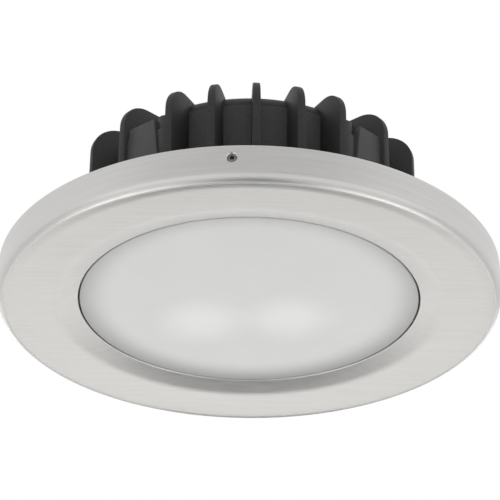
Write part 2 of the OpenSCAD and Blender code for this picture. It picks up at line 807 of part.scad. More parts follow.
module led_connector() {
  color(white)
    difference() {
      translate([-connector_w / 2, -connector_w / 3, board_bottom - connector_h])
        cube([connector_w, connector_w * 2 / 3, connector_h]);
      for (s = [-1, 1])
        translate([s * lead_gap / 2, 0, board_bottom - connector_h - cut])
          cylinder(d = lead_d / 2, h = connector_h, $fn = small_fn);
    }
}

module led_board_screws() {
  color(steel)
    for (i = [0:board_screw_n - 1])
      at_azimuth(board_screw_az + i * 360 / board_screw_n)
        translate([0, -board_screw_r, board_bottom]) pan_screw(screw_d, board_screw_len);
}

module reflector() {
  color(white)
    rotate_extrude()
      polygon([[reflector_in_r, board_bottom], [reflector_in_r + reflector_t, board_bottom],
               [board_r, ledge_bottom], [reflector_flange_r, ledge_bottom],
               [reflector_flange_r, flange_top], [board_r - reflector_t, flange_top]]);
}

module lead_grommet() {
  color(seal_grey)
    difference() {
      union() {
        disc(grommet_d / 2, recess_top, floor_top);
        disc(grommet_flange_d / 2, floor_top, floor_top + grommet_flange_t);
      }
      disc(grommet_bore / 2, recess_top - cut, floor_top + grommet_flange_t + cut);
    }
}

module lead(side) {
  translate([side * lead_gap / 2, 0, 0]) disc(lead_d / 2, board_bottom, lead_top);
}

module positive_lead() { color("red") lead(1); }
module negative_lead() { color("black") lead(-1); }

module driver_board() {
  color(board_green)
    difference() {
      translate([-driver_half, -driver_half, driver_bottom]) cube([driver_w, driver_w, driver_t]);
      standoff_places() disc(screw_d / 2 + thread_clear, driver_bottom - cut, driver_top + cut);
    }
}

module driver_output_terminal() {
  color(white)
    translate([-output_terminal_w / 2, -output_terminal_l / 2, lead_top]) cube(output_terminal);
}

module driver_supply_terminal() {
  wire_r = 1.4;
  wire_z = supply_terminal_h * 0.4;
  color(board_green)
    translate([-supply_terminal_w / 2, driver_part_gap - driver_half, driver_top])
      difference() {
        cube(supply_terminal);
        for (s = [-1, 1])
          translate([supply_terminal_w / 2 + s * supply_terminal_w / 4, -cut, wire_z])
            rotate([-90, 0, 0]) cylinder(r = wire_r, h = cut + supply_terminal_l / 2, $fn = small_fn);
      }
}

module driver_choke() {
  color(brass_tone) translate(choke_at) ring(choke_r / 2, choke_r, driver_top, driver_top + choke_h);
}

module driver_capacitors() {
  color(sleeve_blue)
    for (k = [0, 1])
      translate([cap_x, cap_y - k * cap_pitch, 0]) disc(cap_d / 2, driver_top, cap_top);
}

module driver_chips() {
  chip_n = 3;
  chip_y = supply_terminal_l + 2 * driver_part_gap - driver_half;
  color(black)
    for (k = [0:chip_n - 1])
      translate([k * (chip_w + driver_part_gap) - chip_n * chip_w, chip_y, driver_top])
        cube([chip_w, chip_w, chip_h]);
}

module driver_screws() {
  color(steel)
    standoff_places()
      translate([0, 0, driver_top]) mirror([0, 0, 1]) pan_screw(screw_d, driver_t + standoff_h);
}

module rear_cover() {
  color(black)
    difference() {
      disc(rear_r, rear_seat, sink_h);
      disc(gland_d / 2 + thread_clear, rear_seat - cut, sink_h + cut);
      rear_screw_places() countersunk_hole(small_screw_d, rear_t + cut);
    }
}

module rear_gasket() {
  color(seal_grey) ring(chamber_r, chamber_r + rear_gasket_w, rear_gasket_bottom, rear_seat);
}

module rear_cover_screws() {
  color(steel) rear_screw_places() countersunk_screw(small_screw_d, rear_screw_len);
}

module gland_sealing_ring() {
  color(seal_grey) ring(gland_d / 2 + thread_clear, gland_hex_af / 2, sink_h, gland_ring_top);
}

// Hexagonal prism by its width across flats
module hexagon(af, z_low, z_high) {
  translate([0, 0, z_low]) cylinder(d = af / cos(30), h = z_high - z_low, $fn = 6);
}

module gland_body() {
  color(black)
    difference() {
      union() {
        disc(gland_d / 2, gland_ring_top - gland_thread_h, gland_ring_top);
        hexagon(gland_hex_af, gland_ring_top, gland_hex_top);
        disc(gland_collar_r, gland_hex_top, gland_hex_top + gland_collar_h);
      }
      disc(gland_bore_r, gland_ring_top - gland_thread_h - cut, gland_hex_top + cut);
      disc(gland_seal_r + thread_clear, gland_seal_bottom, gland_hex_top + gland_collar_h + cut);
    }
}

module gland_seal() {
  color(seal_grey)
    ring(cable_d / 2, gland_seal_r, gland_seal_bottom, gland_seal_top);
}

module gland_cap() {
  color(black)
    difference() {
      rotate_extrude()
        polygon(concat(
          [[gland_collar_r + thread_clear, gland_hex_top], [gland_cap_r, gland_hex_top]],
          arc([gland_cap_r - gland_dome_r, gland_cap_top - gland_dome_r], gland_dome_r, 0, 90, 6),
          [[gland_cap_hole_r, gland_cap_top], [gland_cap_hole_r, gland_seal_top],
           [gland_collar_r + thread_clear, gland_seal_top]]));
      for (i = [0:grip_n - 1])
        rotate([0, 0, i * 360 / grip_n])
          translate([gland_cap_r + grip_out, 0, gland_hex_top - cut])
            cylinder(r = grip_r, h = gland_cap_h - gland_dome_r + cut, $fn = 16);
    }
}

module gland_locknut() {
  color(bare_aluminium)
    difference() {
      hexagon(gland_hex_af, rear_seat - locknut_h, rear_seat);
      disc(gland_d / 2 + thread_clear, rear_seat - locknut_h - cut, rear_seat + cut);
    }
}

trim_cover();
weld_nuts();
grub_screw_front();
grub_screw_left();
grub_screw_right();
mounting_ring();
soffit_gasket();
body_seal();
body_screws();
diffuser();
diffuser_gasket();
retaining_ring();
retaining_screws();
heat_sink();
cooling_fins();
thermal_pad();
led_board();
led_packages();
led_connector();
led_board_screws();
reflector();
lead_grommet();
positive_lead();
negative_lead();
driver_board();
driver_output_terminal();
driver_supply_terminal();
driver_choke();
driver_capacitors();
driver_chips();
driver_screws();
rear_cover();
rear_gasket();
rear_cover_screws();
gland_sealing_ring();
gland_body();
gland_seal();
gland_cap();
gland_locknut();
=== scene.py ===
# %% [markdown]
# # A recessed soffit downlight
# A stainless cover ring lies round an opal face, and a black finned casting sits behind it, inside
# the soffit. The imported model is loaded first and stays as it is. Its solids could be shown bare,
# but the eye reads a product by its rolled edges and cast corners, so the four pieces that show
# are modelled anew round it. All is in metres, with the soffit plane at height 0 and the light
# leaving downwards.

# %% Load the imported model
import json
import math

import bpy
from mathutils import Matrix, Vector


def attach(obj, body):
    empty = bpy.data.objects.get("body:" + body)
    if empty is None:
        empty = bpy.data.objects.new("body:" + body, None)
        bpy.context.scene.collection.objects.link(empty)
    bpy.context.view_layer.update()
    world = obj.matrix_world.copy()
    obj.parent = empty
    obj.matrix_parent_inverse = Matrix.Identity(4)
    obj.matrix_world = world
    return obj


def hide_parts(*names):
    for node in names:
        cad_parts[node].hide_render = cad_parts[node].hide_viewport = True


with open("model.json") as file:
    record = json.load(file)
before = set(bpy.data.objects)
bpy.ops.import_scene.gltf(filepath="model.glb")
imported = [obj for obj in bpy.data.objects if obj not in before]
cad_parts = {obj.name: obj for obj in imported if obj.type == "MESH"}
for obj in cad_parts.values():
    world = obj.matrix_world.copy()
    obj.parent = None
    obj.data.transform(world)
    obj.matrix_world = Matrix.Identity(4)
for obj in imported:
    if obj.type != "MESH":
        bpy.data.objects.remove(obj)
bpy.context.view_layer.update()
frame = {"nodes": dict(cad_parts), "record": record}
MM = 0.001

# %% [markdown]
# ## Camera
# The photograph looks up at the lamp from below the soffit. A camera can be moved by eye until the
# picture fits, but the ring offers a surer way: its circles show as ellipses, and the distance,
# height and lens were worked out from them. The camera looks a little above the lamp's centre, so
# that it needs no lens shift, and is rolled by half a degree, because the ring's right side lies
# lower.

# %% Camera
CAMERA_DISTANCE = 659.2 * MM
CAMERA_BELOW = math.radians(29.08)
CAMERA_AZIMUTH = math.radians(-1.9)
CAMERA_ROLL = math.radians(0.46)
FOCAL_PIXELS = 2191.0
IMAGE_PIXELS = 500.0
SENSOR_MM = 36.0
PIXELS_UP = 29.1
PIXELS_RIGHT = 0.5
CLIP_START = 0.01

sideways = math.cos(CAMERA_BELOW)
place = CAMERA_DISTANCE * Vector((math.sin(CAMERA_AZIMUTH) * sideways,
                                  -math.cos(CAMERA_AZIMUTH) * sideways,
                                  -math.sin(CAMERA_BELOW)))
bpy.ops.object.camera_add(location=place)
camera = bpy.context.active_object
camera.name = "view_camera"
camera.data.sensor_width = SENSOR_MM
camera.data.lens = FOCAL_PIXELS / IMAGE_PIXELS * SENSOR_MM
camera.data.clip_start = CLIP_START
look_up = math.atan(PIXELS_UP / FOCAL_PIXELS)
look_right = math.atan(PIXELS_RIGHT / FOCAL_PIXELS)
aim = (-place).to_track_quat("-Z", "Y").to_matrix().to_4x4()
turn = (Matrix.Rotation(-look_right, 4, "Y") @ Matrix.Rotation(look_up, 4, "X")
        @ Matrix.Rotation(CAMERA_ROLL, 4, "Z"))
camera.matrix_world = Matrix.Translation(place) @ aim @ turn
bpy.context.scene.camera = camera
print("camera at", [round(v / MM) for v in place], "mm, lens", round(camera.data.lens, 1))

# %% [markdown]
# ## Floor
# The real lamp hangs over a porch floor, and brushed metal mirrors it softly. The floor here does
# the same work: it lies below the camera, outside the picture, and one plane is enough for that. A
# room with walls would do it too, but it would take away the plain white background.

# %% Floor
FLOOR_HEIGHT = -0.42
FLOOR_SIZE = 8.0


def in_object_mode():
    if bpy.context.mode != "OBJECT":
        bpy.ops.object.mode_set(mode="OBJECT")


def deselect_all():
    in_object_mode()
    bpy.ops.object.select_all(action="DESELECT")


deselect_all()
bpy.ops.mesh.primitive_plane_add(size=FLOOR_SIZE, location=(0, 0, FLOOR_HEIGHT))
floor = bpy.context.active_object
floor.name = "studio_floor"
print("floor at", FLOOR_HEIGHT, "m")

# %% [markdown]
# ## Lamps
# Metal shows what stands round it more than its own colour, so these lamps were placed by what the
# ring mirrors. Two wide ones in front light the casting and the ring's side. One above the far
# floor and one behind light what the flat face mirrors, and two small ones make pools of light on
# the floor, left and right, for the bead. One large lamp is simpler, but makes the ring look like
# grey paint.

# %% Lamps
LAMPS = [
    # name, place, what it points at (both in metres), width and height in metres, power in watts
    ("floor_lamp", (0.0, 0.85, 0.1), (0.0, 0.8, FLOOR_HEIGHT), (0.9, 0.4), 3.1),
    ("left_lamp", (-0.60, -0.85, -0.10), (0.0, 0.0, 0.0), (1.4, 0.7), 0.95),
    ("right_lamp", (0.62, -0.83, -0.10), (0.0, 0.0, 0.0), (1.4, 0.7), 0.8),
    ("left_pool", (-0.38, -0.10, -0.28), (-0.38, -0.10, FLOOR_HEIGHT), (0.25, 0.25), 0.48),
    ("right_pool", (0.38, -0.10, -0.28), (0.38, -0.10, FLOOR_HEIGHT), (0.25, 0.25), 0.48),
    ("back_lamp", (0.0, 2.6, 0.05), (0.0, 0.0, 0.0), (2.6, 0.5), 2.4),
]
for name, spot, aim_at, (width, height), power in LAMPS:
    bpy.ops.object.light_add(type="AREA", location=spot)
    lamp = bpy.context.active_object
    lamp.name = name
    lamp.data.shape = "RECTANGLE"
    lamp.data.size = width
    lamp.data.size_y = height
    lamp.data.energy = power
    lamp.rotation_euler = (Vector(aim_at) - Vector(spot)).to_track_quat("-Z", "Y").to_euler()
print(len(LAMPS), "lamps")

# %% [markdown]
# ## World
# The background is plain white, so the world is white for the camera. For all other rays it is the
# room: a little less than white, and dimmer towards the front, where a porch has its shaded side.
# A picture of a room could stand here, but a direction and a colour ramp are enough for soft
# metal.

# %% World
ROOM_LIGHT = 0.90
DIM_SIDE = 0.66
DIM_TOWARDS = (0.0, -0.954, 0.300)
DIM_FROM, DIM_FULL = 0.35, 0.98
WHITE = (1, 1, 1, 1)

world = bpy.data.worlds.new("studio_world")
bpy.context.scene.world = world
world.use_nodes = True
nodes, links = world.node_tree.nodes, world.node_tree.links
nodes.clear()
dot = nodes.new("ShaderNodeVectorMath")
dot.operation = "DOT_PRODUCT"
dot.inputs[1].default_value = DIM_TOWARDS
links.new(nodes.new("ShaderNodeTexCoord").outputs["Generated"], dot.inputs[0])
ramp = nodes.new("ShaderNodeValToRGB")
ramp.color_ramp.interpolation = "EASE"
for stop, position, light in zip(ramp.color_ramp.elements, (DIM_FROM, DIM_FULL),
                                 (ROOM_LIGHT, DIM_SIDE)):
    stop.position = position
    stop.color = (light, light, light, 1)
links.new(dot.outputs["Value"], ramp.inputs[0])
room = nodes.new("ShaderNodeBackground")
room.inputs["Strength"].default_value = 1.0
links.new(ramp.outputs[0], room.inputs["Color"])
seen = nodes.new("ShaderNodeBackground")
seen.inputs["Color"].default_value = WHITE
mix_seen = nodes.new("ShaderNodeMixShader")
links.new(nodes.new("ShaderNodeLightPath").outputs["Is Camera Ray"], mix_seen.inputs[0])
links.new(room.outputs[0], mix_seen.inputs[1])
links.new(seen.outputs[0], mix_seen.inputs[2])
links.new(mix_seen.outputs[0], nodes.new("ShaderNodeOutputWorld").inputs["Surface"])
bpy.context.scene.view_settings.view_transform = "Standard"
print("world from", ROOM_LIGHT, "down to", DIM_SIDE)

# %% [markdown]
# ## Finishes
# A finish is more than a colour: brushing, powder paint and moulded plastic all break the light up
# a little. Scanned textures could show that, but a noise pattern on each piece's own coordinates
# has no seams and holds at any distance. Every finish starts from one principled shader.

# %% A new finish


def new_finish(name, colour, roughness, metallic=0.0):
    """A material with one principled shader; returns the material, its nodes, links and shader."""
    finish = bpy.data.materials.new(name)
    finish.use_nodes = True
    tree = finish.node_tree
    tree.nodes.clear()
    shader = tree.nodes.new("ShaderNodeBsdfPrincipled")
    shader.inputs["Base Color"].default_value = (*colour, 1)
    shader.inputs["Roughness"].default_value = roughness
    shader.inputs["Metallic"].default_value = metallic
    out = tree.nodes.new("ShaderNodeOutputMaterial")
    tree.links.new(shader.outputs[0], out.inputs["Surface"])
    finish.diffuse_color = (*colour, 1)
    return finish, tree.nodes, tree.links, shader


print("finishes start from one shader")

# %% [markdown]
# Patterns come next. Some follow a distance, such as the darker rim of the opal, and need a soft
# step from one value to another. Others are grain. Stretched along one direction, plain grain
# turns into brushing; to make the strokes run round the ring, its frequency follows the radius
# instead.

# %% Distances and soft steps


def maths(nodes, links, operation, *values):
    """A math node. Each value is a number or another node's output."""
    node = nodes.new("ShaderNodeMath")
    node.operation = operation
    for socket, value in zip(node.inputs, values):
        if isinstance(value, (int, float)):
            socket.default_value = value
        else:
            links.new(value, socket)
    return node.outputs[0]


def distance_to(nodes, links, point, scale=(1, 1, 0)):
    """Distance in metres from a point, after each axis is scaled; the height is left out."""
    scaled = nodes.new("ShaderNodeVectorMath")
    scaled.operation = "MULTIPLY"
    scaled.inputs[1].default_value = scale
    links.new(nodes.new("ShaderNodeTexCoord").outputs["Object"], scaled.inputs[0])
    away = nodes.new("ShaderNodeVectorMath")
    away.operation = "DISTANCE"
    away.inputs[1].default_value = point
    links.new(scaled.outputs[0], away.inputs[0])
    return away.outputs["Value"]


def step(nodes, links, value, near, far, at_near, at_far, soft=True):
    """Goes from at_near to at_far while the value runs from near to far."""
    ranged = nodes.new("ShaderNodeMapRange")
    ranged.interpolation_type = "SMOOTHSTEP" if soft else "LINEAR"
    ranged.inputs["From Min"].default_value = near
    ranged.inputs["From Max"].default_value = far
    ranged.inputs["To Min"].default_value = at_near
    ranged.inputs["To Max"].default_value = at_far
    links.new(value, ranged.inputs["Value"])
    return ranged.outputs["Result"]


print("distances and steps ready")

# %% Grain
GRAIN_LOW, GRAIN_HIGH = 0.3, 0.7


def grain(nodes, links, stretch, detail=4.0, around=False):
    """Noise on object coordinates; stretch is its frequency per metre along X, Y and Z.

    With around, the Z frequency follows height plus radius, so that streaks run round Z."""
    source = nodes.new("ShaderNodeTexCoord").outputs["Object"]
    if around:
        split = nodes.new("ShaderNodeSeparateXYZ")
        links.new(source, split.inputs[0])
        radius = distance_to(nodes, links, (0, 0, 0))
        join = nodes.new("ShaderNodeCombineXYZ")
        links.new(split.outputs["X"], join.inputs["X"])
        links.new(split.outputs["Y"], join.inputs["Y"])
        links.new(maths(nodes, links, "ADD", split.outputs["Z"], radius), join.inputs["Z"])
        source = join.outputs[0]
    mapping = nodes.new("ShaderNodeMapping")
    mapping.inputs["Scale"].default_value = stretch
    links.new(source, mapping.inputs["Vector"])
    noise = nodes.new("ShaderNodeTexNoise")
    noise.inputs["Scale"].default_value = 1.0
    noise.inputs["Detail"].default_value = detail
    links.new(mapping.outputs[0], noise.inputs["Vector"])
    return noise.outputs["Fac"]


def spread(nodes, links, pattern, low, high):
    """Maps the range that nearly all of a pattern lies in to low..high."""
    return step(nodes, links, pattern, GRAIN_LOW, GRAIN_HIGH, low, high, soft=False)


print("grain lies between", GRAIN_LOW, "and", GRAIN_HIGH)

# %% [markdown]
# A pattern then moves three things: the colour a little, the roughness, and a fine bump. The last
# helper puts these together for every even, grained surface, from powder paint to rubber.

# %% Colour, relief and grained finish


def tint(nodes, links, value, dark, light, shader):
    """Lets a pattern move the colour between dark and light."""
    blend = nodes.new("ShaderNodeMix")
    blend.data_type = "RGBA"
    blend.inputs[6].default_value = (*dark, 1)
    blend.inputs[7].default_value = (*light, 1)
    links.new(value, blend.inputs[0])
    links.new(blend.outputs[2], shader.inputs["Base Color"])


def relief(nodes, links, value, depth, shader, strength=1.0):
    """Turns a pattern into a fine bump of that depth in mm, and returns the bump."""
    bump = nodes.new("ShaderNodeBump")
    bump.inputs["Strength"].default_value = strength
    bump.inputs["Distance"].default_value = depth * MM
    links.new(value, bump.inputs["Height"])
    links.new(bump.outputs[0], shader.inputs["Normal"])
    return bump


def grained_finish(name, colour, roughness, metallic, size, contrast, depth, rough_swing=0.06,
                   sheen=0.5):
    """An even finish: grain of about size mm, colour swing, bump depth in mm, roughness swing."""
    finish, nodes, links, shader = new_finish(name, colour, roughness, metallic)
    shader.inputs["Specular IOR Level"].default_value = sheen
    pattern = grain(nodes, links, (1 / (size * MM),) * 3)
    tint(nodes, links, spread(nodes, links, pattern, 0.0, 1.0),
         [part * (1 - contrast) for part in colour],
         [min(1.0, part * (1 + contrast)) for part in colour], shader)
    rough = spread(nodes, links, pattern, roughness - rough_swing, roughness + rough_swing)
    links.new(rough, shader.inputs["Roughness"])
    relief(nodes, links, pattern, depth, shader)
    return finish


print("grained finish ready")

# %% [markdown]
# The cover ring is stainless steel with two brushings: long straight strokes across the whole flat
# face, and strokes that follow the rim round the side wall and the bead. An anisotropic shader
# would stretch the highlights, but wouldn't show the strokes, so both are grain. Each mixes a fine
# grain with a broad one, because real brushing is uneven, and the two differ only in their
# stretch.

# %% Brushed stainless
STEEL = (0.65, 0.643, 0.632)
STEEL_ROUGHNESS = 0.36
STROKE_ROUGHNESS = (0.30, 0.42)
STROKE_TINTS = (0.92, 1.06)
FINE_SHARE, BROAD_SHARE = 0.65, 0.35
STROKE_DEPTH, STROKE_STRENGTH = 0.004, 0.6


def brushed_steel(name, fine_stretch, broad_stretch, around=False):
    """Brushed steel; returns the finish and the bump of its strokes."""
    finish, nodes, links, shader = new_finish(name, STEEL, STEEL_ROUGHNESS, 1.0)
    fine = grain(nodes, links, fine_stretch, 5.0, around)
    broad = grain(nodes, links, broad_stretch, 3.0, around)
    both = maths(nodes, links, "MULTIPLY_ADD", fine, FINE_SHARE,
                 maths(nodes, links, "MULTIPLY", broad, BROAD_SHARE))
    dark, light = [[part * share for part in STEEL] for share in STROKE_TINTS]
    tint(nodes, links, spread(nodes, links, both, 0.0, 1.0), dark, light, shader)
    links.new(spread(nodes, links, fine, *STROKE_ROUGHNESS), shader.inputs["Roughness"])
    return finish, relief(nodes, links, fine, STROKE_DEPTH, shader, STROKE_STRENGTH)


straight_brushed, straight_strokes = brushed_steel("straight_brushed_steel", (110, 2600, 2600),
                                                   (35, 800, 800))
round_brushed, _ = brushed_steel("round_brushed_steel", (40, 40, 2200), (14, 14, 600), around=True)
print("two brushed finishes")

# %% [markdown]
# Between the flat face and the bead runs a narrow flank. It is modelled, but in the photograph its
# near side shades as if it fell back towards the rim, and its far side as if it were flat. The
# form could be changed, yet the ring's outer line fits the photograph as it is. So a wide, soft
# bump leans the flank's shading outwards, fully on the near side and just enough on the far side
# to even it out.

# %% Shading of the flank
FLANK_FROM, FLANK_TO = 69.3, 72.95
FLANK_LEAN = 1.05
NEAR_EDGE = (0, -0.075, 0)
NEAR_UNTIL, FAR_FROM = 0.055, 0.125
FAR_SHARE = 0.4

nodes, links = straight_brushed.node_tree.nodes, straight_brushed.node_tree.links
across = step(nodes, links, distance_to(nodes, links, (0, 0, 0)), FLANK_FROM * MM, FLANK_TO * MM,
              0.0, 1.0, soft=False)
from_near_edge = distance_to(nodes, links, NEAR_EDGE, (0, 1, 0))
share = step(nodes, links, from_near_edge, NEAR_UNTIL, FAR_FROM, 1.0, FAR_SHARE)
lean = nodes.new("ShaderNodeBump")
lean.invert = True
lean.inputs["Strength"].default_value = 1.0
lean.inputs["Distance"].default_value = FLANK_LEAN * MM
curve = maths(nodes, links, "MULTIPLY", across, across)
links.new(maths(nodes, links, "MULTIPLY", curve, share), lean.inputs["Height"])
links.new(lean.outputs[0], straight_strokes.inputs["Normal"])
print("flank shaded from", FLANK_FROM, "to", FLANK_TO, "mm")

# %% [markdown]
# The opal face is a satin plastic that lets light sink in a little. In the photograph it has two
# soft bright spots and a darker far rim. Light from real boards behind it could make them, at the
# cost of long renders, so they are painted into its colour: the spots are painted light and the
# rim is painted shade, stronger on the far side.

# %% Opal plastic
OPAL = (0.68, 0.68, 0.68)
OPAL_CLOUD = (0.985, 1.015)
PAINTED_LIGHT_SPOTS = ((-0.0140, 0.0095), (0.0125, 0.0060))
SPOT_FADE = (0.002, 0.018)
PAINTED_SPOT_GLOW = 1.16
RIM_CENTRE = (0, -0.0040, 0)
RIM_FADE = (0.0405, 0.0565)
PAINTED_RIM_SHADE = 0.42
SINK_DEPTH = 0.003

opal_plastic, nodes, links, shader = new_finish("opal_plastic", OPAL, 0.38)
cloud = spread(nodes, links, grain(nodes, links, (60, 60, 60), 3.0), *OPAL_CLOUD)
# painted shade: the colour darkens towards the rim round a centre 4 mm to the near side, so the far
# rim is darkest
painted_rim_shade = step(nodes, links, distance_to(nodes, links, RIM_CENTRE), *RIM_FADE, 1.0, PAINTED_RIM_SHADE)
shade = maths(nodes, links, "MULTIPLY", cloud, painted_rim_shade)
# painted light: two soft bright spots brighten the opal's colour
for x, y in PAINTED_LIGHT_SPOTS:
    painted_glow = step(nodes, links, distance_to(nodes, links, (x, y, 0)), *SPOT_FADE, PAINTED_SPOT_GLOW, 1.0)
    shade = maths(nodes, links, "MULTIPLY", shade, painted_glow)
shaded = nodes.new("ShaderNodeVectorMath")
shaded.operation = "SCALE"
shaded.inputs[0].default_value = OPAL
links.new(shade, shaded.inputs["Scale"])
links.new(shaded.outputs[0], shader.inputs["Base Color"])
satin = spread(nodes, links, grain(nodes, links, (900, 900, 900)), 0.34, 0.42)
links.new(satin, shader.inputs["Roughness"])
relief(nodes, links, grain(nodes, links, (1500, 1500, 1500)), 0.002, shader)
shader.inputs["Subsurface Weight"].default_value = 0.15
shader.inputs["Subsurface Radius"].default_value = (SINK_DEPTH,) * 3
shader.inputs["Subsurface Scale"].default_value = 1.0
print("opal with", len(PAINTED_LIGHT_SPOTS), "bright spots")

# %% [markdown]
# The casting has a satin black coat with the fine orange-peel of powder paint. In the photograph
# the fins and the drum's shoulder are darker than the drum's wall and the lugs. Stronger lamps in
# front would part them, but would spoil the ring, so the coat has a lighter copy: painted light on
# the drum's wall, the lugs and the pillars, while the fins and the shoulder keep the darker coat as
# painted shade. The small parts inside and on top have finishes of their own: bare casting, seals,
# moulded plastics, circuit boards, screws and leads. They are rows of one table.

# %% Coats and other finishes
black_coat = grained_finish("black_powder_coat", (0.038, 0.038, 0.039), 0.50, 0.0, 0.8, 0.15, 0.012,
                            rough_swing=0.07, sheen=0.18)
# painted light: a lighter copy of the black coat for the drum's wall, the lugs and the pillars
painted_light_coat = grained_finish("painted_light_powder_coat", (0.068, 0.068, 0.069), 0.50, 0.0, 0.8, 0.15, 0.012,
                           rough_swing=0.07, sheen=0.20)
FINISHES = {
    "brushed_stainless": straight_brushed,
    "black_casting": black_coat,
    "opal_plastic": opal_plastic,
}
SMALL_FINISHES = {
    # slot: name, colour, roughness, metallic, grain in mm, colour swing and bump depth in mm
    "ring_casting": ("bare_die_casting", (0.56, 0.57, 0.58), 0.42, 1.0, 1.2, 0.08, 0.015),
    "screw_steel": ("machined_screw_steel", (0.72, 0.71, 0.70), 0.36, 0.5, 0.5, 0.06, 0.004),
    "blackened_steel": ("blackened_screw_steel", (0.24, 0.24, 0.245), 0.34, 0.7, 0.4, 0.2, 0.005),
    "black_plastic": ("moulded_black_plastic", (0.028, 0.028, 0.030), 0.42, 0.0, 1.0, 0.12, 0.008),
    "white_plastic": ("moulded_white_plastic", (0.80, 0.80, 0.79), 0.35, 0.0, 3.0, 0.03, 0.006),
    "seal_rubber": ("seal_rubber", (0.022, 0.022, 0.023), 0.72, 0.0, 0.6, 0.2, 0.02),
    "thermal_pad": ("thermal_pad_grey", (0.30, 0.34, 0.38), 0.80, 0.0, 1.5, 0.08, 0.02),
    "led_board": ("white_solder_mask", (0.78, 0.78, 0.76), 0.30, 0.0, 4.0, 0.03, 0.004),
    "led_phosphor": ("led_phosphor", (0.80, 0.62, 0.12), 0.45, 0.0, 0.6, 0.1, 0.01),
    "circuit_board": ("green_solder_mask", (0.03, 0.15, 0.07), 0.32, 0.0, 2.5, 0.25, 0.006),
    "component_blue": ("capacitor_sleeve", (0.04, 0.06, 0.16), 0.34, 0.0, 2.0, 0.1, 0.004),
    "copper_winding": ("enamelled_winding", (0.50, 0.22, 0.07), 0.35, 0.4, 0.7, 0.3, 0.08),
    "lead_red": ("red_lead_sleeve", (0.42, 0.02, 0.02), 0.45, 0.0, 1.0, 0.08, 0.005),
    "lead_black": ("black_lead_sleeve", (0.02, 0.02, 0.02), 0.45, 0.0, 1.0, 0.1, 0.005),
}
for slot, values in SMALL_FINISHES.items():
    FINISHES[slot] = grained_finish(*values)
slot_of = {part["node"]: part["material_slot"] for part in frame["record"]["subparts"]}
for name, node in frame["nodes"].items():
    node.data.materials.clear()
    node.data.materials.append(FINISHES[slot_of[name]])
print(len(FINISHES), "finishes on", len(slot_of), "nodes")

# %% [markdown]
# The floor is pale and matt. A real floor under a lamp is never evenly lit, and the ring shows it,
# so four soft fields of painted light and shade lie on it: a painted dark patch in front, where the
# viewer stands, a painted shadow under the lamp, and a painted pool of light on either side. Cards
# laid on the floor would do this too, but would also take light from the casting. These fields are
# seen by mirror rays only, as painted reflections in the ring. From below, the camera sees through
# the floor.

# %% Floor finish
FLOOR_COLOUR = (0.80, 0.80, 0.79)
PAINTED_FLOOR_LIGHT = [
    # middle and half width in metres along X and Y, and how bright it is beside the bare floor
    ((0.0, -0.50), (0.17, 0.30), 0.08),
    ((0.0, 0.22), (0.19, 0.24), 0.25),
    ((-0.40, -0.12), (0.24, 0.26), 1.25),
    ((0.40, -0.12), (0.24, 0.26), 1.25),
]
FIELD_FADE = (0.55, 1.35)

pale_floor, nodes, links, shader = new_finish("pale_floor", FLOOR_COLOUR, 0.6)
# painted light and shade: each field darkens or brightens the floor's colour for mirror rays
painted_light_fields = 1.0
for (x, y), (half_x, half_y), brightness in PAINTED_FLOOR_LIGHT:
    away = distance_to(nodes, links, (x / half_x, y / half_y, 0), (1 / half_x, 1 / half_y, 0))
    painted_field = step(nodes, links, away, *FIELD_FADE, brightness, 1.0)
    painted_light_fields = maths(nodes, links, "MULTIPLY", painted_light_fields, painted_field)
mirrored = nodes.new("ShaderNodeVectorMath")
mirrored.operation = "SCALE"
mirrored.inputs[0].default_value = FLOOR_COLOUR
links.new(painted_light_fields, mirrored.inputs["Scale"])
tint(nodes, links, nodes.new("ShaderNodeLightPath").outputs["Is Glossy Ray"], FLOOR_COLOUR,
     FLOOR_COLOUR, shader)
blend = shader.inputs["Base Color"].links[0].from_node
links.new(mirrored.outputs[0], blend.inputs[7])

under = maths(nodes, links, "MULTIPLY", nodes.new("ShaderNodeNewGeometry").outputs["Backfacing"],
              nodes.new("ShaderNodeLightPath").outputs["Is Camera Ray"])
two_sided = nodes.new("ShaderNodeMixShader")
links.new(under, two_sided.inputs[0])
links.new(shader.outputs[0], two_sided.inputs[1])
links.new(nodes.new("ShaderNodeBsdfTransparent").outputs[0], two_sided.inputs[2])
surface = next(node for node in nodes if node.type == "OUTPUT_MATERIAL").inputs["Surface"]
links.new(two_sided.outputs[0], surface)
floor.data.materials.append(pale_floor)
print("floor with", len(PAINTED_FLOOR_LIGHT), "mirrored fields")

# %% [markdown]
# ## Modelling helpers
# The ring, the opal and the drum are all round, as if turned on a lathe. They could be built from
# cylinders and cuts, but half of the cross-section, drawn point by point and spun round the Z
# axis, holds every radius of the real piece. Outlines are lists of radius and height in
# millimetres.

# %% Arcs, taking and settling


def arc(centre, radius, start, end, steps):
    """Points of an arc in the (radius, height) plane, angles in degrees."""
    turns = [math.radians(start + (end - start) * i / steps) for i in range(steps + 1)]
    return [(centre[0] + radius * math.cos(t), centre[1] + radius * math.sin(t)) for t in turns]


def take(piece):
    """Selects one piece alone and makes it active."""
    deselect_all()
    piece.select_set(True)
    bpy.context.view_layer.objects.active = piece
    return piece


def settle(piece):
    """Moves a piece's place and turn into its mesh, so that its object sits at the origin."""
    take(piece)
    bpy.ops.object.transform_apply(location=True, rotation=True, scale=True)
    return piece


print("pieces can be taken and settled")

# %% Outline


